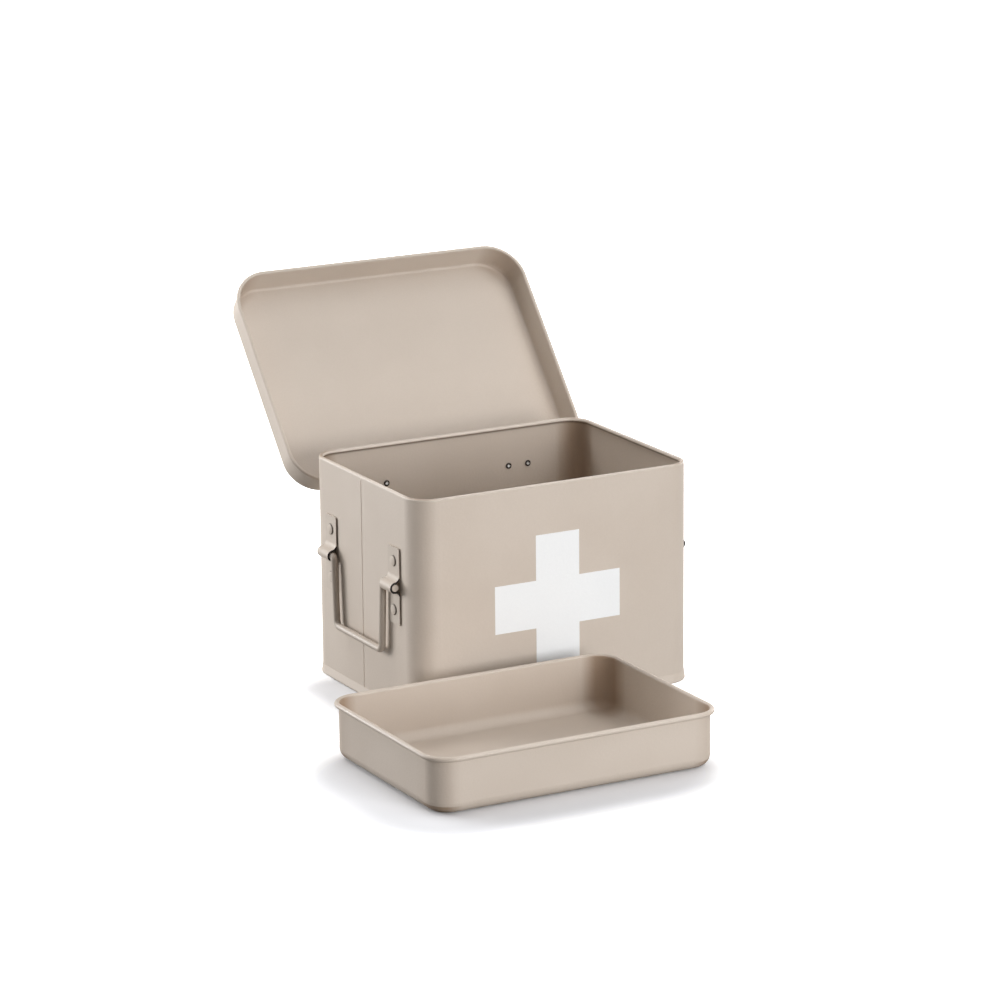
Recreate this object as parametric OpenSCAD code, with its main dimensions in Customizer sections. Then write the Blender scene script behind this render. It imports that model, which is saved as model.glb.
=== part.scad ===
// A small steel medicine box with a hinged lid, two wire bail handles and a lift-out tray.
// Drawn as it stands in use: the lid leans back on its stop, the tray stands in front.
// The origin is the middle of the box's base, on the floor. The front faces -Y.

/* [Box] */
// Width of the box across the front, over the sheet
body_w = 220; // [190:1:250]
// Depth of the box from front to back, over the sheet
body_d = 163; // [145:1:190]
// Height of the box from the floor to the top of its rolled rim
body_h = 160.4; // [135:0.2:190]
// Outer radius of the box's upright corners
corner_r = 18; // [14:0.5:24]
// Thickness of the coated steel sheet of box, lid and tray
sheet_t = 0.7; // [0.5:0.05:1]
// Diameter of the box's rolled rim, which curls inwards
rim_d = 3; // [2.4:0.1:3.3]

/* [Lock seam and base] */
// Width of the folded lock seam on the inside of the left end
seam_w = 6; // [4:0.5:9]
// How far the folded seam stands in from the sheet
seam_t = 1.2; // [0.8:0.1:1.6]
// Width of the groove that the seam shows on the outside
seam_line = 0.6; // [0.4:0.1:1]
// Depth of that groove
seam_line_depth = 0.35; // [0.2:0.05:0.45]
// Width of the shallow band in front of the groove, where the sheet is pressed in
seam_band = 4; // [3:0.5:6]
// Depth of that band
seam_band_depth = 0.15; // [0.1:0.05:0.2]
// Width of the slope at the band's front edge
seam_slope = 0.7; // [0.3:0.1:1]
// How far the seam lies behind the middle of the left end
seam_y = 2; // [-10:0.5:10]
// Height of the base panel's underside above the floor
base_rise = 2; // [1.2:0.1:3]
// Height of the curl that folds the base onto the walls
curl_h = 6.8; // [5:0.2:9]
// How far the curl stands out from the walls
curl_out = 1; // [0.8:0.1:1.6]
// Thickness that the curl thins out to at its upper edge
curl_edge = 0.1; // [0.05:0.05:0.3]
// Play between the wall's foot and the channel that holds it
curl_play = 0.03; // [0.02:0.01:0.1]

/* [Lid] */
// How far the lid's rim reaches past each end of the box
lid_over_end = 9; // [7:0.25:12]
// How far the lid's rim reaches past the front of the box
lid_over_front = 6; // [5:0.25:10]
// Height of the lid from its mouth to its top
lid_h = 22; // [20:0.5:28]
// Outer radius of the lid's corners at the rim
lid_corner_r = 28.5; // [22:0.5:34]
// Diameter of the lid's rolled rim, which curls outwards
lid_rim_d = 2.8; // [2.2:0.1:3.4]
// Outer radius of the bend between the lid's skirt and its top
lid_edge_r = 3; // [2:0.25:6]
// Lean of the lid's skirt, in degrees
lid_draft = 3.5; // [1:0.25:5]
// Angle that the lid opens to, in degrees
lid_open = 130.3; // [118:0.1:140]
// Room between the closed lid and the rim of the stored tray
lid_seat = 0.1; // [0.05:0.05:0.4]

/* [Hinges] */
// Distance between the middles of the two hinges
hinge_spacing = 116; // [90:1:130]
// Width of each hinge
leaf_w = 28; // [24:0.5:34]
// Thickness of the hinge leaves
leaf_t = 0.75; // [0.6:0.05:0.9]
// Length of the leaf on the box, from the pin downwards
leaf_down = 17; // [16:0.5:22]
// Length of the leaf in the lid, from the pin upwards
leaf_up = 15; // [14:0.5:17]
// Diameter of the hinge pin
pin_d = 1.8; // [1.4:0.1:2.2]
// Running room round the hinge pin
pin_room = 0.05; // [0.03:0.01:0.08]
// Width of the middle knuckle, which belongs to the lid
knuckle_w = 9.6; // [8:0.2:12]
// Room between neighbouring knuckles
knuckle_gap = 0.2; // [0.15:0.05:0.4]
// Room between the open lid's rim and the leaf that it rests on
stop_gap = 0.1; // [0.05:0.05:0.3]
// Distance between a leaf's two rivets
leaf_rivets = 16; // [13:0.5:18]
// Height of the pin above the rivets in the box
rivet_drop = 11; // [9:0.5:12]
// Height of the lid's rivets above the pin
rivet_rise = 10; // [9:0.25:11]

/* [Handles] */
// Diameter of the bail wire
wire_d = 5; // [4:0.25:6]
// Height of the bail's pivot above the floor
pivot_z = 94.2; // [80:0.2:110]
// Distance from the wall to the middle of the wire
pivot_out = 4.2; // [3.8:0.1:5.5]
// Depth that the bail hangs below its pivot
bail_drop = 50; // [35:1:60]
// Half the distance between the bail's legs at the pivot
leg_top = 37.8; // [35:0.2:40]
// Half the distance between the bail's legs at the bottom
leg_foot = 35; // [30:0.2:38]
// Radius of the bends at the pivot, on the wire's middle
pivot_bend = 3.4; // [3.2:0.1:3.6]
// Radius of the bail's lower bends, on the wire's middle
grip_bend = 5; // [4.5:0.25:9]
// Distance from the middle of the end to the middle of each clip
clip_y = 48.5; // [47.5:0.5:52]
// Width of a clip
clip_w = 16.5; // [14.5:0.5:18]
// Length of a clip
clip_len = 55; // [48:1:64]
// Thickness of a clip
clip_t = 0.9; // [0.7:0.05:1.2]
// Room between a clip's flat ends and the wall
clip_gap = 0.35; // [0.2:0.05:0.5]
// Room round the wire inside a clip
loop_room = 0.6; // [0.4:0.05:0.8]
// Outer radius where a clip's upper strap turns into its loop
upper_fillet = 4; // [2:0.25:5]
// Outer radius where its lower strap turns into the loop
lower_fillet = 2.5; // [1.5:0.25:4]
// Distance between a clip's two rivets
clip_rivets = 35; // [32:0.5:40]

/* [Rivets] */
// Radius of the domed rivet heads on the clips
clip_head_r = 4; // [3:0.25:4.5]
// Height of those heads
clip_head_h = 1.3; // [1.1:0.1:1.8]
// Radius of their rounded edge
clip_head_edge = 0.9; // [0.6:0.1:1.1]
// Radius of the domed rivet heads on the hinges
leaf_head_r = 2.6; // [2.2:0.1:3]
// Height of those heads
leaf_head_h = 0.9; // [0.8:0.1:1.1]
// Radius of their rounded edge
leaf_head_edge = 0.6; // [0.4:0.1:0.8]
// Radius of every rivet's shank
shank_r = 1.4; // [1.1:0.1:1.6]
// Outer radius of the rolled tails
tail_r = 2.3; // [2:0.1:2.6]
// Height of the rolled tails
tail_h = 0.9; // [0.7:0.05:1]
// Radius of the hollow in a tail
hollow_r = 0.8; // [0.6:0.1:0.9]
// Room round a shank in its hole
hole_room = 0.05; // [0.02:0.01:0.1]

/* [Cross] */
// Overall size of the printed cross
cross_size = 99.4; // [70:0.2:110]
// Width of its arms
cross_arm = 34.4; // [24:0.2:40]
// Height of its middle above the floor
cross_z = 74.6; // [65:0.2:90]
// Thickness of the print
print_t = 0.12; // [0.08:0.02:0.2]

/* [Tray] */
// How far the stored tray's rim stays inside each end of the box
tray_in_end = 0.5; // [0.2:0.1:1.2]
// How far it stays inside the front and the back of the box
tray_in_front = 1.65; // [0.9:0.05:2]
// Height of the tray
tray_h = 40.2; // [30:0.2:55]
// Outer radius of the tray's corners at the rim
tray_corner_r = 19.5; // [16:0.5:22]
// Diameter of the tray's rolled rim, which curls outwards
tray_rim_d = 3.6; // [3.3:0.1:4.2]
// Outer radius of the bend between the tray's walls and its floor
tray_edge_r = 8; // [4:0.5:11]
// Distance between the box's front and the tray's rim, where the tray stands
tray_gap = 20.5; // [12:0.5:60]
// How far the tray stands to the left of the box's middle
tray_left = 82.6; // [0:0.2:110]

/* [Hidden] */
$fn = 64;

// Colours of the powder coat, the bare rivets and the print
coat = [0.70, 0.64, 0.57];
bare = [0.62, 0.60, 0.57];
white = [0.95, 0.95, 0.95];

// Enough to cut clean through a sheet
through = 4;

// The seam's fold starts this far above the curl, and a leaf's plate this far off its knuckles
fold_rise = 2;
plate_lead = 0.4;

// Peened heads of the hinge pins
pin_head_w = 0.6;
pin_head_out = 0.4;

// Hinge: the pin lies a knuckle's radius behind the back wall
bore_r = pin_d / 2 + pin_room;
knuckle_r = bore_r + leaf_t;
hinge_y = body_d / 2 + knuckle_r;
lid_rim_r = lid_rim_d / 2;

// Height of the lid's rim centre above the pin, closed. It is chosen so that the rim comes to
// rest on the box's leaf at lid_open: turned by that angle, the rim's nearest point stands
// stop_gap off the leaf's face.
rim_up = (leaf_t + stop_gap + lid_rim_r - knuckle_r
          - (knuckle_r / cos(lid_draft) + lid_rim_r) * cos(lid_open))
         / (sin(lid_open) - tan(lid_draft) * cos(lid_open));
// Inner face of the lid's rear skirt, at the height of the rim's centre. It leans over the pin
// so that a leaf lying on it is tangent to the knuckle.
skirt_y = hinge_y + knuckle_r / cos(lid_draft) - rim_up * tan(lid_draft);

// The stored tray hangs by its rim on the box's rim
rims_across = tray_in_end + (tray_rim_d - rim_d) / 2;
rims_apart = (rim_d + tray_rim_d) / 2;
tray_stand = sqrt(rims_apart * rims_apart - rims_across * rims_across) + (tray_rim_d - rim_d) / 2;

// Closed, the lid's top comes down on the stored tray
lid_mouth_z = body_h + tray_stand + lid_seat + sheet_t - lid_h;
hinge_z = lid_mouth_z + lid_rim_r - rim_up;
lid_w = body_w + 2 * lid_over_end;
lid_back_y = skirt_y + lid_rim_d;
// To a hundredth of a millimetre, so that the lid's corners and sides meet exactly
lid_d = round(100 * (lid_back_y + body_d / 2 + lid_over_front)) / 100;

// Tray
tray_w = body_w - 2 * tray_in_end;
tray_d = body_d - 2 * tray_in_front;
tray_y = -body_d / 2 - tray_gap - tray_d / 2;

// Clip and bail
loop_in_r = wire_d / 2 + loop_room;
loop_out_r = loop_in_r + clip_t;
strap_face = clip_gap + clip_t;
clip_corner_r = 1.5;
taper = atan((leg_top - leg_foot) / bail_drop);
bail_end = clip_y + clip_w / 2;
top_reach = pivot_bend / tan(45 + taper / 2);
low_reach = grip_bend / tan(45 + taper / 2);

// Where a fillet of radius r meets the strap and the loop, seen from the pivot
function fillet_across(r) = strap_face + r - pivot_out;
function fillet_up(r) = sqrt(pow(r + loop_out_r, 2) - pow(fillet_across(r), 2));
function loop_angle(r) = atan2(fillet_up(r), fillet_across(r));

// The wire swells a little in its bends, and the straight runs lap into them
bend_swell = 0.04;
bend_lap = 0.2;

// So does the sheet
sheet_swell = 0.01;
sheet_lap = 0.1;

// Sweep a section all round a rounded rectangle. The section's x runs outwards from the
// corner's centre and its y is the height.
module around(w, d, r) {
    for (k = [0 : 3]) {
        across = k % 2 == 0 ? w : d;
        along = k % 2 == 0 ? d : w;
        rotate([0, 0, 90 * k]) translate([across / 2 - r, along / 2 - r, 0]) {
            rotate_extrude(angle = 90) children();
            rotate([90, 0, 0]) linear_extrude(along - 2 * r) children();
        }
    }
}

// Part of a ring between two angles, at most 270 degrees apart
module arc_band(r_in, r_out, from, to) {
    step = (to - from) / 3;
    intersection() {
        difference() {
            circle(r_out);
            circle(r_in);
        }
        polygon(concat([[0, 0]],
            [for (i = [0 : 3]) 3 * r_out * [cos(from + i * step), sin(from + i * step)]]));
    }
}

// Section of a pressed pan, mouth down: rolled rim, leaning skirt, bend and top
module pan_section(r, h, rim, edge, draft) {
    foot = r - rim + sheet_t / cos(draft);
    up = h - edge;
    bend_x = foot - (edge + (up - rim / 2) * sin(draft)) / cos(draft);
    lean = [cos(draft), sin(draft)];
    bend = [bend_x, up] + sheet_lap * [-sin(draft), cos(draft)];
    translate([r - rim / 2, rim / 2]) circle(d = rim);
    polygon([
        [r - rim, rim / 2],
        [foot, rim / 2],
        bend + edge * lean,
        bend + (edge - sheet_t) * lean
    ]);
    translate([bend_x, up]) arc_band(edge - sheet_t - sheet_swell, edge + sheet_swell, draft, 90);
    translate([0, h - sheet_t]) square([bend_x + sheet_lap, sheet_t]);
}

// Pressed pan with its mouth down, over the rolled rim w by d
module pan(w, d, r, h, rim, edge, draft) {
    around(w, d, r) pan_section(r, h, rim, edge, draft);
    translate([r - w / 2, r - d / 2, h - sheet_t]) cube([w - 2 * r, d - 2 * r, sheet_t]);
}

// Rivet along z: low domed head with a round edge above 0, shank through the grip below, rolled
// tail at its end
module rivet(head_r, head_h, edge, grip) {
    top_r = head_r - edge;
    dome_h = head_h - edge;
    dome_r = (top_r * top_r + dome_h * dome_h) / (2 * dome_h);
    roll_r = tail_h / 2;
    rotate_extrude() {
        intersection() {
            translate([0, head_h - dome_r]) circle(dome_r, $fn = 96);
            square([top_r, head_h]);
        }
        intersection() {
            translate([top_r, 0]) circle(edge);
            square([head_r, edge]);
        }
        translate([0, -grip]) square([shank_r, grip]);
        difference() {
            translate([0, -grip - tail_h]) square([tail_r - roll_r, tail_h]);
            translate([0, -grip - tail_h]) square([hollow_r, tail_h]);
        }
        translate([tail_r - roll_r, -grip - roll_r]) circle(roll_r);
    }
}

// Hole for a rivet's shank, along z through 0
module shank_hole() {
    translate([0, 0, -through / 2]) cylinder(r = shank_r + hole_room, h = through);
}

// Turn z towards -X on the left end, or +X on the right end, at the wall's outer face
module on_end(side, y, z) {
    translate([side * body_w / 2, y, z]) rotate([0, side * 90, 0]) children();
}

// The two rivet places of one clip, on the given end
module clip_rivet_places(side, y) {
    for (up = [-1, 1]) on_end(side, y, pivot_z + up * clip_rivets / 2) children();
}

// The rivet places of one hinge on the back wall, z pointing backwards
module body_rivet_places(side) {
    for (k = [-1, 1])
        translate([side * hinge_spacing / 2 + k * leaf_rivets / 2, body_d / 2, hinge_z - rivet_drop])
            rotate([-90, 0, 0]) children();
}

// The lid's parts are drawn closed and turned back about the pins
module as_open() {
    translate([0, hinge_y, hinge_z]) rotate([-lid_open, 0, 0])
        translate([0, -hinge_y, -hinge_z]) children();
}

// Frame of the lid's rear skirt for one hinge: origin on the pin's axis, y towards the
// skirt's inner face, z up along it
module on_skirt(side) {
    translate([side * hinge_spacing / 2, hinge_y, hinge_z]) rotate([lid_draft, 0, 0]) children();
}

// The rivet places of one hinge on the rear skirt, z pointing backwards off its inner face
module lid_rivet_places(side) {
    on_skirt(side) for (k = [-1, 1])
        translate([k * leaf_rivets / 2, knuckle_r, rivet_rise]) rotate([-90, 0, 0]) children();
}

module body_section() {
    translate([corner_r - sheet_t, sheet_t]) square([sheet_t, body_h - rim_d / 2 - sheet_t]);
    translate([corner_r - rim_d / 2, body_h - rim_d / 2]) circle(d = rim_d);
}

// Groove and shallow band of the seam as they are cut into the left end: x goes into the sheet
// and y to the back, from the groove's middle
module seam_cut() {
    groove = seam_line / 2;
    polygon([
        [-through, groove],
        [seam_line_depth, groove],
        [seam_line_depth, -groove],
        [seam_band_depth, -groove],
        [seam_band_depth, seam_slope / 2 - seam_band],
        [0, -seam_band - seam_slope / 2],
        [-through, -seam_band - seam_slope / 2]
    ]);
}

module body_shell() {
    fold_foot = curl_h + fold_rise;
    fold_h = body_h - rim_d - fold_foot;
    color(coat) difference() {
        union() {
            around(body_w, body_d, corner_r) body_section();
            translate([sheet_t - body_w / 2, seam_y - seam_w / 2, fold_foot])
                cube([seam_t, seam_w, fold_h]);
        }
        translate([-body_w / 2, seam_y, curl_h]) linear_extrude(body_h - rim_d - curl_h) seam_cut();
        for (side = [-1, 1]) {
            body_rivet_places(side) shank_hole();
            for (k = [-1, 1]) clip_rivet_places(side, k * clip_y) shank_hole();
        }
    }
}

// Base: a channel takes the walls' foot. Its outer side swells round the foot and thins out on
// the wall, its inner side carries the raised floor of the box.
module base_section() {
    inner_x = corner_r - 2 * sheet_t - curl_play;
    swell_r = curl_out + sheet_t / 2;
    centre = [corner_r + curl_out - swell_r, swell_r];
    tip = [corner_r + curl_play + curl_edge, curl_h];
    rise = tip - centre;
    touch = atan2(rise[1], rise[0]) - acos(swell_r / norm(rise));
    difference() {
        union() {
            intersection() {
                translate(centre) circle(swell_r);
                translate([centre[0], 0]) square(2 * swell_r);
            }
            polygon([
                centre,
                centre + swell_r * [cos(touch), sin(touch)],
                tip,
                [corner_r, curl_h]
            ]);
            translate([inner_x, 0]) square([centre[0] - inner_x, sheet_t]);
        }
        translate([inner_x + sheet_t, sheet_t]) square([sheet_t + 2 * curl_play, curl_h]);
    }
    translate([inner_x, 0]) square([sheet_t, base_rise + sheet_t]);
    translate([0, base_rise]) square([inner_x, sheet_t]);
}

module base_panel() {
    color(coat) {
        around(body_w, body_d, corner_r) base_section();
        translate([corner_r - body_w / 2, corner_r - body_d / 2, base_rise])
            cube([body_w - 2 * corner_r, body_d - 2 * corner_r, sheet_t]);
    }
}

module cross_print() {
    color(white) translate([0, -body_d / 2, cross_z]) rotate([90, 0, 0]) linear_extrude(print_t) {
        square([cross_size, cross_arm], center = true);
        square([cross_arm, cross_size], center = true);
    }
}

module lid_shell() {
    color(coat) as_open() difference() {
        translate([0, lid_back_y - lid_d / 2, lid_mouth_z])
            pan(lid_w, lid_d, lid_corner_r, lid_h, lid_rim_d, lid_edge_r, lid_draft);
        for (side = [-1, 1]) lid_rivet_places(side) shank_hole();
    }
}

module tray() {
    color(coat) translate([-tray_left, tray_y, tray_h]) mirror([0, 0, 1])
        pan(tray_w, tray_d, tray_corner_r, tray_h, tray_rim_d, tray_edge_r, 0);
}

// One leaf, drawn about the pin's axis with its plate rising along z, on the side of +y.
// The knuckle sections are given as [from, to] stretches of x.
module leaf(length, stretches) {
    plate_from = knuckle_r + plate_lead;
    difference() {
        union() {
            for (s = stretches) translate([s[0], 0, 0]) {
                rotate([0, 90, 0]) cylinder(r = knuckle_r, h = s[1] - s[0]);
                translate([0, knuckle_r - leaf_t, 0])
                    cube([s[1] - s[0], leaf_t, plate_from]);
            }
            translate([-leaf_w / 2, knuckle_r - leaf_t, plate_from])
                cube([leaf_w, leaf_t, length - plate_from]);
        }
        translate([-leaf_w, 0, 0]) rotate([0, 90, 0]) cylinder(r = bore_r, h = 2 * leaf_w);
    }
}

module body_leaf(side) {
    inner = knuckle_w / 2 + knuckle_gap;
    color(coat) difference() {
        translate([side * hinge_spacing / 2, hinge_y, hinge_z]) rotate([180, 0, 0])
            leaf(leaf_down, [[-leaf_w / 2, -inner], [inner, leaf_w / 2]]);
        body_rivet_places(side) shank_hole();
    }
}

module body_leaf_left() { body_leaf(-1); }
module body_leaf_right() { body_leaf(1); }

module lid_leaf(side) {
    color(coat) as_open() difference() {
        on_skirt(side) leaf(leaf_up, [[-knuckle_w / 2, knuckle_w / 2]]);
        lid_rivet_places(side) shank_hole();
    }
}

module lid_leaf_left() { lid_leaf(-1); }
module lid_leaf_right() { lid_leaf(1); }

// Pin with a peened head at each end
module hinge_pin(side) {
    head_r = pin_d / 2 + pin_head_out;
    color(bare) translate([side * hinge_spacing / 2, hinge_y, hinge_z]) rotate([0, 90, 0]) {
        translate([0, 0, -leaf_w / 2 - pin_head_w]) cylinder(d = pin_d, h = leaf_w + 2 * pin_head_w);
        for (k = [0, 1]) mirror([0, 0, k]) translate([0, 0, leaf_w / 2 + hole_room])
            cylinder(r = head_r, h = pin_head_w - hole_room);
    }
}

module hinge_pin_left() { hinge_pin(-1); }
module hinge_pin_right() { hinge_pin(1); }

module body_hinge_rivets(side) {
    color(bare) body_rivet_places(side) translate([0, 0, leaf_t])
        rivet(leaf_head_r, leaf_head_h, leaf_head_edge, leaf_t + sheet_t);
}

module body_hinge_rivets_left() { body_hinge_rivets(-1); }
module body_hinge_rivets_right() { body_hinge_rivets(1); }

module lid_hinge_rivets(side) {
    color(coat) as_open() lid_rivet_places(side) translate([0, 0, sheet_t])
        rivet(leaf_head_r, leaf_head_h, leaf_head_edge, leaf_t + sheet_t);
}

module lid_hinge_rivets_left() { lid_hinge_rivets(-1); }
module lid_hinge_rivets_right() { lid_hinge_rivets(1); }

// Straight stretch of wire in the drawing plane
module wire_run(from, length, angle) {
    translate(from) rotate([0, 0, angle]) rotate([0, 90, 0]) cylinder(d = wire_d, h = length);
}

// Bend of the wire about a centre in the drawing plane
module wire_bend(centre, r, from, sweep) {
    translate(centre) rotate([0, 0, from]) rotate_extrude(angle = sweep)
        translate([r, 0]) circle(d = wire_d + bend_swell);
}

// Leg and bends of the right half of a bail, in the plane of x (along the pivot) and y (up)
module half_bail() {
    leg_from = top_reach - bend_lap;
    leg_len = bail_drop / cos(taper) - top_reach - low_reach + 2 * bend_lap;
    wire_run([leg_top + leg_from, 0, 0], bail_end - leg_top - leg_from, 0);
    wire_bend([leg_top + top_reach, -pivot_bend, 0], pivot_bend, 90, 90 - taper);
    wire_run([leg_top - leg_from * sin(taper), -leg_from * cos(taper), 0], leg_len, -90 - taper);
    wire_bend([leg_foot - low_reach, grip_bend - bail_drop, 0], grip_bend, -90, 90 - taper);
}

module bail(side) {
    grip_half = leg_foot - low_reach + bend_lap;
    color(coat) translate([side * (body_w / 2 + pivot_out), 0, pivot_z])
        rotate([90, 0, 90]) {
            half_bail();
            mirror([1, 0, 0]) half_bail();
            wire_run([-grip_half, -bail_drop, 0], 2 * grip_half, 0);
        }
}

module bail_left() { bail(-1); }
module bail_right() { bail(1); }

// Half of a clip's section with its strap going up: x out from the wall, y up from the pivot
module clip_strap(fillet) {
    strap_from = fillet_up(fillet) - sheet_lap;
    lap_angle = atan(sheet_lap / fillet);
    translate([clip_gap, strap_from]) square([clip_t, clip_len / 2 - strap_from]);
    translate([strap_face + fillet, fillet_up(fillet)]) arc_band(
        fillet - sheet_swell, fillet + clip_t + sheet_swell, 180, 180 + loop_angle(fillet) + lap_angle);
}

module clip_section() {
    clip_strap(upper_fillet);
    mirror([0, 1]) clip_strap(lower_fillet);
    translate([pivot_out, 0]) arc_band(
        loop_in_r - 2 * sheet_swell, loop_out_r + 2 * sheet_swell,
        -loop_angle(lower_fillet), loop_angle(upper_fillet));
}

module clip(side, y) {
    depth = 2 * loop_out_r + pivot_out;
    color(coat) difference() {
        translate([side * body_w / 2, y, pivot_z]) mirror([side < 0 ? 1 : 0, 0, 0]) intersection() {
            translate([0, clip_w / 2, 0]) rotate([90, 0, 0]) linear_extrude(clip_w) clip_section();
            rotate([90, 0, 90]) linear_extrude(depth) {
                square([clip_w - 2 * clip_corner_r, clip_len], center = true);
                square([clip_w, clip_len - 2 * clip_corner_r], center = true);
                for (x = [-1, 1], z = [-1, 1])
                    translate([x * (clip_w / 2 - clip_corner_r), z * (clip_len / 2 - clip_corner_r)])
                        circle(clip_corner_r);
            }
        }
        clip_rivet_places(side, y) shank_hole();
    }
}

module clip_left_front() { clip(-1, -clip_y); }
module clip_left_back() { clip(-1, clip_y); }
module clip_right_front() { clip(1, -clip_y); }
module clip_right_back() { clip(1, clip_y); }

module clip_rivet_pair(side, y) {
    color(coat) clip_rivet_places(side, y) translate([0, 0, strap_face])
        rivet(clip_head_r, clip_head_h, clip_head_edge, strap_face + sheet_t);
}

module clip_rivets_left_front() { clip_rivet_pair(-1, -clip_y); }
module clip_rivets_left_back() { clip_rivet_pair(-1, clip_y); }
module clip_rivets_right_front() { clip_rivet_pair(1, -clip_y); }
module clip_rivets_right_back() { clip_rivet_pair(1, clip_y); }

body_shell();
base_panel();
cross_print();
lid_shell();
tray();
body_leaf_left();
body_leaf_right();
lid_leaf_left();
lid_leaf_right();
hinge_pin_left();
hinge_pin_right();
body_hinge_rivets_left();
body_hinge_rivets_right();
lid_hinge_rivets_left();
lid_hinge_rivets_right();
bail_left();
bail_right();
clip_left_front();
clip_left_back();
clip_right_front();
clip_right_back();
clip_rivets_left_front();
clip_rivets_left_back();
clip_rivets_right_front();
clip_rivets_right_back();
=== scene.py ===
"""Looks of a steel medicine box: its satin powder coat, the printed cross, the bare rivets,
the pale floor and the soft studio light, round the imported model.

Lengths are in metres, places are those of the CAD model, and colours are linear."""

import math

import bpy
from mathutils import Matrix, Vector

scene = bpy.context.scene
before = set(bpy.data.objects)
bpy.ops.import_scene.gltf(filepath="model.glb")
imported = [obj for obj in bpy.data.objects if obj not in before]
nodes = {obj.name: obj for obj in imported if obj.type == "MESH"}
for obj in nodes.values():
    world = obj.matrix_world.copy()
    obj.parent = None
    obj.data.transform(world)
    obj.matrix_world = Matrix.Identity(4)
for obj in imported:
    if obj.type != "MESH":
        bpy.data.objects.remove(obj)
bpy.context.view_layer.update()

# The camera stands where the photograph was taken from, rolled by half a degree
CAMERA_PLACE = Vector((-1.41246, -2.60968, 0.90952))
CAMERA_AZIMUTH = -28.408
CAMERA_ELEVATION = 14.737
CAMERA_ROLL = -0.531
CAMERA_LENS = 155.71
CAMERA_REACH = 50

# The soft lamps: azimuth, with 0 in front and 90 on the right, elevation, and watts
LAMPS = {
    "front_low": (10, 8, 31.6),
    "right_low": (110, 8, 20.3),
    "back_low": (220, 8, 36.4),
    "front_high": (10, 28, 5.8),
    "back_right": (150, 28, 14.5),
    "left_high": (240, 28, 10.0),
    "right_top": (45, 55, 9.4),
    "back_top": (210, 55, 15.9),
    "top_box": (0, 90, 10.6),
}
LAMP_SIZE = 0.9
LAMP_DISTANCE = 2.2
LAMP_AIM = Vector((0, 0, 0.1))

# Soft clouds and fine grain in a finish: detail of the noise, and the part of it that is used
CLOUDS = (3, 0.35, 0.65)
GRAIN = (1, 0.3, 0.7)
PATCHES = (3, 0.35, 0.68)
FINE_DETAIL = 2

# Powder coat: its two tones, the share of clouds against grain, the scales of both and of the
# orange peel, in waves per metre, and how rough it is, with what clouds and grain add
COAT = (0.588, 0.511, 0.439)
COAT_DEEP = (0.558, 0.480, 0.408)
CLOUD_SHARE = 0.65
COAT_CLOUDS = 14
COAT_GRAIN = 900
COAT_PEEL = 520
COAT_PEEL_HEIGHT = 0.00008
COAT_ROUGH = 0.43
CLOUD_ROUGH = 0.06
GRAIN_ROUGH = 0.04

# The coat on the bails, on the clips and on their rivets, and how much rougher it is there
# The bails' two tones: the coat's, darkened as painted shade
BAIL_SHADED_COAT = (0.470, 0.405, 0.345)
BAIL_SHADED_COAT_DEEP = (0.440, 0.375, 0.315)
# The clips' and their rivet heads' two tones: the coat's, a little darkened as painted shade
CLIP_SHADED_COAT = (0.550, 0.480, 0.412)
CLIP_SHADED_COAT_DEEP = (0.522, 0.450, 0.382)
# Near-black painted shade of the gaps at the clips' cut edges, inside their loops and round the
# rivet heads' foot
GAP_SHADE = (0.020, 0.014, 0.011)
CLIP_ROUGHER = 0.08
GAP_SHADE_ROUGHER = 0.35
HEAD_ROUGHER = 0.2

# Blur of a sharp change of tone, to each side, and the middle of the sheet's thickness
SHARP = 0.00005
HALF_SHEET = 0.0004

# Walls of the box and of the tray seen from above: middle, half widths, corner radius, and how
# far the painted shade of the inner corners goes on past their bend, to the side and to the front
BOX_WALL = ((0.0, 0.0), (0.110, 0.0815), 0.018, (0.003, 0.004))
TRAY_WALL = ((-0.0826, -0.18185), (0.10661, 0.07696), 0.01661, (0.003, 0.014))
# Painted shade of the inner corners, and the share of it that the tray's outer corners get
CORNER_SHADE = (0.353, 0.258, 0.188)
TRAY_OUTER_SHARE = 0.2

# The lock seam's groove on the left end, painted pale as painted light against the shade in it
SEAM_Y = 0.002
SEAM_HALF = 0.0003
SEAM_X = -0.1095
SEAM_PAINTED_LIGHT = (0.740, 0.662, 0.584)

# The crease under the box's rolled rim, painted dark as painted shade, and the rim above it,
# painted
# pale as painted light: where each begins, is full, is no longer full and ends, in height
CREASE_BAND = (0.1555, 0.1574, 0.1578, 0.1586)
CREASE_SHADE = (0.130, 0.092, 0.066)
CREASE_SHARE = 0.85
RIM_BAND = (0.1582, 0.1588, 0.1596, 0.1602)
RIM_PAINTED_LIGHT = (0.760, 0.680, 0.600)
RIM_SHARE = 0.7

# The lid's hinge line and its stand, and its skirt as it is when shut, measured from the hinge
HINGE_Y = 0.0832
HINGE_Z = 0.140914
LID_OPEN = math.radians(130.3)
LID_LEAN = math.radians(3.5)
LID_HALF = (0.1169, 0.0855)
LID_MIDDLE = -0.0831
LID_CORNER = 0.0255
# The painted shade in the lid's inner corners: the depths between which it fades, and its share
LID_SKIRT = (0.009, 0.004)
LID_CORNER_SHARE = 0.6

# The clips: their middle and half width along the end of the box, the bails' pivot, the radii
# inside and past the loop, and the middle of the strap's thickness
CLIP_Y = 0.0485
CLIP_HALF = 0.00825
CUT_EDGE = 0.00012
PIVOT_X = 0.1142
PIVOT_Z = 0.0942
LOOP_IN = 0.0031
LOOP_OUT = (0.0075, 0.0065)
STRAP_MIDDLE = 0.1106

# The clips' rivets: height above and below the pivot, and the line of painted shade round the
# head's foot
RIVET_UP = 0.0175
HEAD_FOOT = (0.0033, 0.0039)
HEAD_FOOT_SHARE = 0.8

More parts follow.
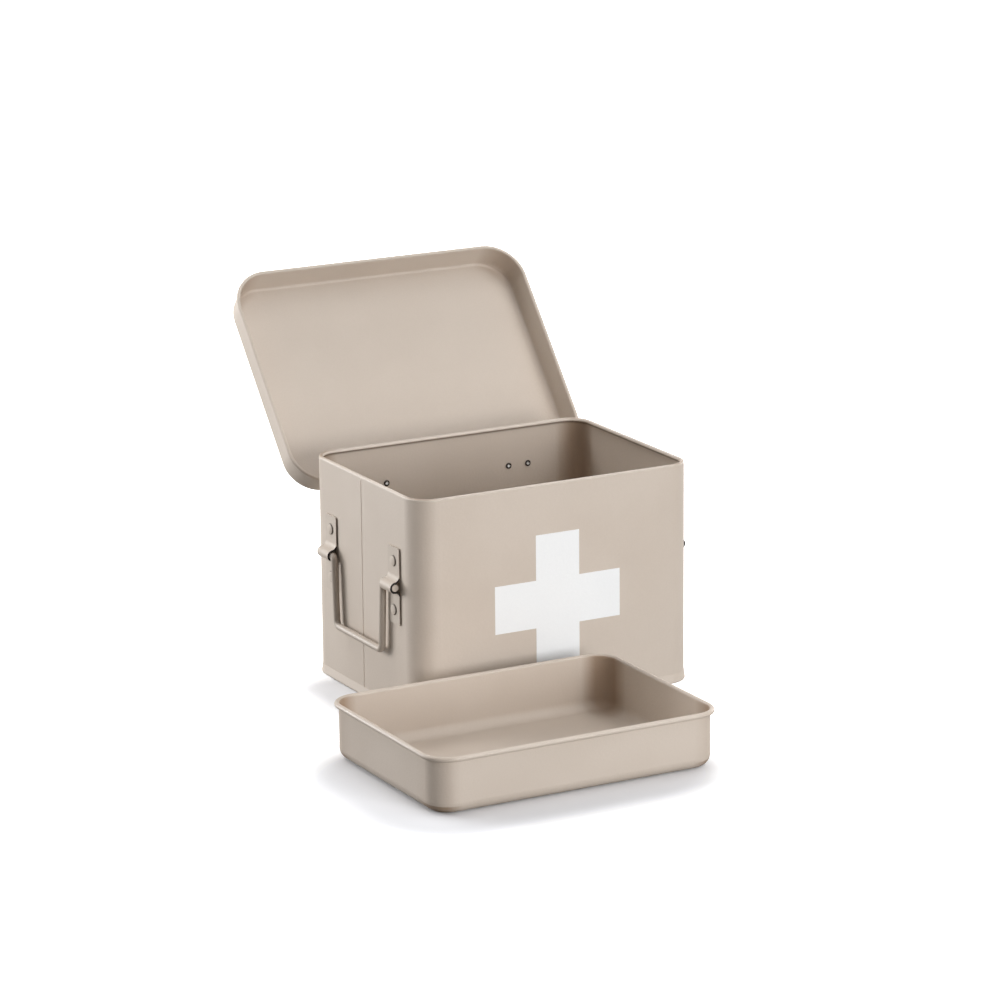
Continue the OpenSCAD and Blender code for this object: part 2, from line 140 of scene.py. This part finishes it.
# White print: its two tones, its scales in waves per metre, and how rough it is
PRINT_WHITE = (0.870, 0.882, 0.890)
PRINT_WORN = (0.845, 0.857, 0.865)
PRINT_CLOUDS = 20
PRINT_GRAIN = 700
PRINT_PEEL_HEIGHT = 0.0001
PRINT_ROUGH = 0.55
PRINT_GRAIN_ROUGH = 0.08

# Plain steel: its two tones, how rough its dull patches are and how much smoother the rest is,
# and the scales of the patches and of the bump, in waves per metre
STEEL = (0.52, 0.49, 0.46)
STEEL_DULL = (0.27, 0.24, 0.22)
STEEL_BUMP = 0.00005
PIN_ROUGH, PIN_SMOOTHER = 0.53, 0.25
PIN_PATCHES, PIN_BUMPS = 300, 600
RIVET_ROUGH, RIVET_SMOOTHER = 0.5, 0.2
RIVET_PATCHES, RIVET_BUMPS = 900, 1800

# The hinge rivets' rolled tails on the inside of the back wall, painted dark as painted shade
# round a painted glint of white in the hollow
TAIL_X = 0.058
TAIL_APART = 0.008
TAIL_UP = 0.12991
TAIL_Y = 0.0813
TAIL_HOLLOW = 0.0008
TAIL_EDGE = 0.0004
TAIL_SHADE = (0.020, 0.014, 0.011)
TAIL_PATCH_SHARE = 0.2
TAIL_ROUGHER = 0.1
# The painted glint of white in the tails' hollow
TAIL_GLINT = (0.960, 0.950, 0.930)

# Floor as the light and as the camera see it, painted grey near the object as a painted shadow,
# and the oblongs round which the camera sees that and the lamps' shadow: middle, half widths, and
# the distances from them over which it turns white
WHITE = (1.0, 1.0, 1.0)
FLOOR = (0.35, 0.35, 0.35)
FLOOR_PAINTED_SHADOW = (0.860, 0.865, 0.890)
FLOOR_SIZE = 60
TRAY_SHADOW = ((-0.105, -0.205), (0.06, 0.03), (0.05, 0.11))
BOX_SHADOW = ((-0.07, -0.02), (0.05, 0.05), (0.01, 0.055))


def make_camera():
    """Camera turned by its azimuth, elevation and roll, instead of aimed."""
    az, el, roll = (math.radians(a) for a in (CAMERA_AZIMUTH, CAMERA_ELEVATION, CAMERA_ROLL))
    ahead = Vector((-math.sin(az) * math.cos(el), math.cos(az) * math.cos(el), -math.sin(el)))
    level = ahead.cross(Vector((0, 0, 1))).normalized()
    above = level.cross(ahead)
    right = level * math.cos(roll) + above * math.sin(roll)
    up = above * math.cos(roll) - level * math.sin(roll)
    data = bpy.data.cameras.new("camera")
    data.lens = CAMERA_LENS
    data.clip_end = CAMERA_REACH
    camera = bpy.data.objects.new("camera", data)
    scene.collection.objects.link(camera)
    turn = Matrix((right, up, -ahead)).transposed().to_4x4()
    camera.matrix_world = Matrix.Translation(CAMERA_PLACE) @ turn
    scene.camera = camera


class Value:
    """A shader value. Arithmetic on it adds Math nodes."""

    def __init__(self, finish, socket):
        self.finish = finish
        self.socket = socket

    def _math(self, operation, *values):
        settings = {"operation": operation}
        return self.finish.node("ShaderNodeMath", settings, dict(enumerate(values)))

    def __add__(self, other):
        return self._math("ADD", self, other)

    def __sub__(self, other):
        return self._math("SUBTRACT", self, other)

    def __rsub__(self, other):
        return self._math("SUBTRACT", other, self)

    def __mul__(self, other):
        return self._math("MULTIPLY", self, other)

    def __pow__(self, other):
        return self._math("POWER", self, other)

    def __abs__(self):
        return self._math("ABSOLUTE", self)

    def at_least(self, other):
        return self._math("MAXIMUM", self, other)

    def at_most(self, other):
        return self._math("MINIMUM", self, other)

    __radd__ = __add__
    __rmul__ = __mul__


class Finish:
    """A material or world as it is written, node by node."""

    def __init__(self, owner):
        owner.use_nodes = True
        self.owner = owner
        self.tree = owner.node_tree
        self.tree.nodes.clear()

    def node(self, kind, settings=None, inputs=None, output=0):
        made = self.tree.nodes.new(kind)
        for name, value in (settings or {}).items():
            setattr(made, name, value)
        for name, value in (inputs or {}).items():
            socket = made.inputs[name]
            if isinstance(value, Value):
                self.tree.links.new(value.socket, socket)
            elif socket.type == "RGBA":
                socket.default_value = (*value, 1.0)
            else:
                socket.default_value = value
        return Value(self, made.outputs[output]) if made.outputs else None

    def place(self):
        return self.node("ShaderNodeTexCoord", output="Object")

    def along(self, axis):
        """Place along one axis of the object: 0 is x, 1 is y and 2 is z."""
        return self.node("ShaderNodeSeparateXYZ", inputs={0: self.place()}, output=axis)

    def noise(self, per_metre, detail=FINE_DETAIL):
        inputs = {"Vector": self.place(), "Scale": per_metre, "Detail": detail}
        return self.node("ShaderNodeTexNoise", inputs=inputs)

    def spots(self, per_metre, detail, low, high):
        return self.between(self.noise(per_metre, detail), low, high)

    def between(self, value, low, high):
        """Rises from 0 at low to 1 at high, or falls where low is the greater of the two."""
        settings = {"interpolation_type": "SMOOTHSTEP"}
        inputs = {"Value": value, "From Min": low, "From Max": high}
        return self.node("ShaderNodeMapRange", settings, inputs)

    def band(self, value, begins, full, leaves, ends):
        """1 from full to leaves, and 0 before begins and past ends."""
        return self.between(value, begins, full) * self.between(value, ends, leaves)

    def mix(self, share, a, b):
        # Colours are the Mix node's seventh and eighth sockets and its third output
        return self.node("ShaderNodeMix", {"data_type": "RGBA"}, {0: share, 6: a, 7: b}, output=2)

    def surface(self, colour, roughness, height, depth, metallic=0.0):
        """Closes a material, with a bump of the given height field and depth."""
        bump = self.node("ShaderNodeBump", inputs={"Height": height, "Distance": depth})
        inputs = {"Base Color": colour, "Roughness": roughness, "Normal": bump}
        inputs["Metallic"] = metallic
        shader = self.node("ShaderNodeBsdfPrincipled", inputs=inputs)
        self.node("ShaderNodeOutputMaterial", inputs={"Surface": shader})
        return self.owner


def new_finish(name):
    """An empty material under the given name."""
    return Finish(bpy.data.materials.new(name))


def length(a, b):
    """Length of the line whose parts along two axes are a and b."""
    return (a * a + b * b) ** 0.5


def coat_layers(coat, pale=COAT, deep=COAT_DEEP):
    """Tone and roughness of the satin powder coat, with faint clouds and a fine grain."""
    cloud = coat.spots(COAT_CLOUDS, *CLOUDS)
    grain = coat.spots(COAT_GRAIN, *GRAIN)
    tone = coat.mix(cloud * CLOUD_SHARE + grain * (1 - CLOUD_SHARE), deep, pale)
    return tone, COAT_ROUGH + CLOUD_ROUGH * cloud + GRAIN_ROUGH * grain


def coated(coat, tone, rough):
    """Closes a powder coat, with its orange peel."""
    return coat.surface(tone, rough, coat.noise(COAT_PEEL), COAT_PEEL_HEIGHT)


def powder_coat(name, pale=COAT, deep=COAT_DEEP):
    """Powder coat without marks."""
    coat = new_finish(name)
    return coated(coat, *coat_layers(coat, pale, deep))


def wall_masks(coat, middle, half, corner, past):
    """The inner side of an upright wall, and the share of painted shade in its corners, spread
    past their bend.
    """
    right, back = (abs(coat.along(k) - middle[k]) - (half[k] - corner) for k in (0, 1))
    depth = corner - length(right.at_least(0), back.at_least(0))
    inside = coat.between(depth, HALF_SHEET - SHARP, HALF_SHEET + SHARP)
    scale = 2 / ((corner + past[0]) * (corner + past[1]))
    share = (right + past[0]).at_least(0) * (back + past[1]).at_least(0) * scale
    return inside, share.at_most(1)


def box_coat():
    """Powder coat of the box, with painted light in the seam's groove, painted shade in the inner
    corners and in the crease under the rolled rim, and painted light on the rim's round."""
    coat = new_finish("box_coat")
    tone, rough = coat_layers(coat)
    across = coat.between(abs(coat.along(1) - SEAM_Y), SEAM_HALF + 2 * SHARP, SEAM_HALF)
    groove = across * coat.between(coat.along(0), SEAM_X + 4 * SHARP, SEAM_X)
    inside, corner = wall_masks(coat, *BOX_WALL)
    up = coat.along(2)
    # Painted light in the seam's groove, against its shade
    tone = coat.mix(groove, tone, SEAM_PAINTED_LIGHT)
    # Painted shade in the box's inner corners
    tone = coat.mix(inside * corner, tone, CORNER_SHADE)
    # Painted shade in the crease under the rolled rim, and painted light on the rim's round
    tone = coat.mix(inside * coat.band(up, *CREASE_BAND) * CREASE_SHARE, tone, CREASE_SHADE)
    tone = coat.mix(inside * coat.band(up, *RIM_BAND) * RIM_SHARE, tone, RIM_PAINTED_LIGHT)
    return coated(coat, tone, rough)


def lid_coat():
    """Powder coat of the lid, with painted shade inside its corners. The lid is drawn open, so its
    own places are found by turning it shut."""
    coat = new_finish("lid_coat")
    tone, rough = coat_layers(coat)
    behind, above = coat.along(1) - HINGE_Y, coat.along(2) - HINGE_Z
    back = behind * math.cos(LID_OPEN) - above * math.sin(LID_OPEN)
    up = behind * math.sin(LID_OPEN) + above * math.cos(LID_OPEN)
    lean = up * math.tan(LID_LEAN)
    out_x = abs(coat.along(0)) - LID_HALF[0] + lean
    out_y = abs(back - LID_MIDDLE) - LID_HALF[1] + lean
    bend_x, bend_y = (out_x + LID_CORNER).at_least(0), (out_y + LID_CORNER).at_least(0)
    depth = LID_CORNER - length(bend_x, bend_y)
    inside = coat.between(depth, HALF_SHEET - 2 * SHARP, HALF_SHEET + 2 * SHARP)
    corner = bend_x * bend_y * (2 / LID_CORNER**2)
    # Painted shade in the lid's inner corners
    deep = inside * coat.between(depth, *LID_SKIRT) * corner * LID_CORNER_SHARE
    return coated(coat, coat.mix(deep, tone, CORNER_SHADE), rough)


def tray_coat():
    """Powder coat of the tray, with painted shade in its inner corners and a little on the outer
    ones.
    """
    coat = new_finish("tray_coat")
    tone, rough = coat_layers(coat)
    inside, corner = wall_masks(coat, *TRAY_WALL)
    # Painted shade in the inner corners, and a little of it on the outer ones
    deep = corner * (TRAY_OUTER_SHARE + (1 - TRAY_OUTER_SHARE) * inside)
    return coated(coat, coat.mix(deep, tone, CORNER_SHADE), rough)


def clip_coat():
    """Powder coat, a little darkened as painted shade, with near-black painted shade of the gaps
    on the cut edges and inside the loop."""
    coat = new_finish("clip_coat")
    tone, rough = coat_layers(coat, CLIP_SHADED_COAT, CLIP_SHADED_COAT_DEEP)
    x, y, z = (coat.along(axis) for axis in range(3))
    from_pivot = length(abs(x) - PIVOT_X, z - PIVOT_Z)
    side = coat.between(abs(abs(y) - CLIP_Y), CLIP_HALF - CUT_EDGE, CLIP_HALF - CUT_EDGE / 2)
    loop = coat.between(from_pivot, *LOOP_OUT)
    strap = coat.between(abs(x), STRAP_MIDDLE + SHARP, STRAP_MIDDLE - SHARP)
    in_loop = coat.between(from_pivot, LOOP_IN + CUT_EDGE, LOOP_IN + CUT_EDGE / 2)
    # Painted shade of the gaps: the cut edges and the inside of the loop
    gap_shade_share = (side * loop.at_least(strap)).at_least(in_loop)
    rough = rough + CLIP_ROUGHER + gap_shade_share * GAP_SHADE_ROUGHER
    return coated(coat, coat.mix(gap_shade_share, tone, GAP_SHADE), rough)


def rivet_coat():
    """Powder coat on the clips' rivet heads, a little darkened as painted shade, with a line of
    painted shade round their foot.
    """
    coat = new_finish("rivet_coat")
    tone, rough = coat_layers(coat, CLIP_SHADED_COAT, CLIP_SHADED_COAT_DEEP)
    across, up = abs(coat.along(1)) - CLIP_Y, abs(coat.along(2) - PIVOT_Z) - RIVET_UP
    # Painted shade round the foot of the head
    foot = coat.between(length(across, up), *HEAD_FOOT) * HEAD_FOOT_SHARE
    return coated(coat, coat.mix(foot, tone, GAP_SHADE), rough + HEAD_ROUGHER)


def cross_print():
    """White print on the coat, a little chalky, with the coat's grain coming through."""
    ink = new_finish("white_print")
    cloud = ink.spots(PRINT_CLOUDS, *CLOUDS)
    grain = ink.spots(PRINT_GRAIN, *GRAIN)
    tone = ink.mix(cloud * 0.5 + grain * 0.5, PRINT_WORN, PRINT_WHITE)
    rough = PRINT_ROUGH + PRINT_GRAIN_ROUGH * grain
    return ink.surface(tone, rough, ink.noise(COAT_PEEL), PRINT_PEEL_HEIGHT)


def pin_steel():
    """Plain steel of the hinge pins, with dull patches."""
    steel = new_finish("pin_steel")
    bright = steel.spots(PIN_PATCHES, *PATCHES)
    tone = steel.mix(bright, STEEL_DULL, STEEL)
    rough = PIN_ROUGH - PIN_SMOOTHER * bright
    return steel.surface(tone, rough, steel.noise(PIN_BUMPS), STEEL_BUMP, metallic=1.0)


def hinge_rivet_steel():
    """Steel of the hinge rivets: plain heads, and tails painted dark as painted shade round a
    painted glint of white in the hollow.
    """
    steel = new_finish("hinge_rivet_steel")
    bright = steel.spots(RIVET_PATCHES, *PATCHES)
    across = abs(abs(steel.along(0)) - TAIL_X) - TAIL_APART
    from_middle = length(across, steel.along(2) - TAIL_UP)
    tail = steel.between(steel.along(1), TAIL_Y + 2 * SHARP, TAIL_Y - 2 * SHARP)
    hollow = tail * steel.between(from_middle, TAIL_HOLLOW + TAIL_EDGE, TAIL_HOLLOW)
    head_tone = steel.mix(bright, STEEL_DULL, STEEL)
    tail_tone = steel.mix(bright * TAIL_PATCH_SHARE, TAIL_SHADE, STEEL_DULL)
    # Tails painted dark as painted shade, with a painted glint of white in the hollow
    tone = steel.mix(hollow, steel.mix(tail, head_tone, tail_tone), TAIL_GLINT)
    rough = RIVET_ROUGH - RIVET_SMOOTHER * bright + TAIL_ROUGHER * tail
    return steel.surface(tone, rough, steel.noise(RIVET_BUMPS), STEEL_BUMP, metallic=1 - hollow)


def dress(material, *names):
    """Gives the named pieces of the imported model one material."""
    for name in names:
        slots = nodes[name].data.materials
        slots.clear()
        slots.append(material)


def make_floor():
    """Plain floor, which the camera sees painted grey round the object, a painted shadow over the
    lamps' own, and white beyond.
    """
    bpy.ops.mesh.primitive_plane_add(size=FLOOR_SIZE, location=(0, 0, 0))
    floor = bpy.context.object
    floor.name = "floor"
    paper = new_finish("floor")

    def beyond(middle, half, fade):
        right, back = ((abs(paper.along(k) - middle[k]) - half[k]).at_least(0) for k in (0, 1))
        return paper.between(length(right, back), *fade)

    seen = paper.node("ShaderNodeLightPath", output="Is Camera Ray")
    away = beyond(*TRAY_SHADOW).at_most(beyond(*BOX_SHADOW))
    # Near the object the camera sees the floor painted grey, a painted shadow
    tone = paper.mix(seen, FLOOR, paper.mix(away, FLOOR_PAINTED_SHADOW, WHITE))
    lit = paper.node("ShaderNodeBsdfDiffuse", inputs={"Color": tone})
    glow = paper.node("ShaderNodeEmission", inputs={"Color": WHITE, "Strength": seen * away})
    both = paper.node("ShaderNodeAddShader", inputs={0: lit, 1: glow})
    paper.node("ShaderNodeOutputMaterial", inputs={"Surface": both})
    floor.data.materials.append(paper.owner)


def make_world():
    """Backdrop that is white to the camera and in reflections, and gives no light."""
    world = bpy.data.worlds.new("studio")
    scene.world = world
    sky = Finish(world)
    rays = ("Is Camera Ray", "Is Glossy Ray", "Is Transmission Ray")
    camera, glossy, through = (sky.node("ShaderNodeLightPath", output=ray) for ray in rays)
    seen = (camera + glossy + through).at_most(1)
    backdrop = sky.node("ShaderNodeBackground", inputs={"Color": WHITE, "Strength": seen})
    sky.node("ShaderNodeOutputWorld", inputs={"Surface": backdrop})


def softbox(name, azimuth, elevation, watts):
    """Square lamp aimed at the box."""
    az, el = math.radians(azimuth), math.radians(elevation)
    towards = Vector((math.sin(az) * math.cos(el), -math.cos(az) * math.cos(el), math.sin(el)))
    data = bpy.data.lights.new(name, "AREA")
    data.size = LAMP_SIZE
    data.energy = watts
    lamp = bpy.data.objects.new(name, data)
    lamp.location = LAMP_AIM + towards * LAMP_DISTANCE
    lamp.rotation_euler = towards.to_track_quat("Z", "Y").to_euler()
    scene.collection.objects.link(lamp)


make_camera()

dress(powder_coat("powder_coat"), *nodes)
# The bails get a darker copy of the coat, painted shade
dress(powder_coat("bail_coat", BAIL_SHADED_COAT, BAIL_SHADED_COAT_DEEP), "bail_left", "bail_right")
dress(box_coat(), "body_shell")
dress(lid_coat(), "lid_shell")
dress(tray_coat(), "tray")
dress(clip_coat(), *(name for name in nodes if name.startswith(("clip_left", "clip_right"))))
dress(rivet_coat(), *(name for name in nodes if name.startswith("clip_rivets")))
dress(cross_print(), "cross_print")
dress(pin_steel(), "hinge_pin_left", "hinge_pin_right")
dress(hinge_rivet_steel(), "body_hinge_rivets_left", "body_hinge_rivets_right")

make_floor()
make_world()
for lamp_name, lamp_settings in LAMPS.items():
    softbox(lamp_name, *lamp_settings)

scene.view_settings.view_transform = "Standard"
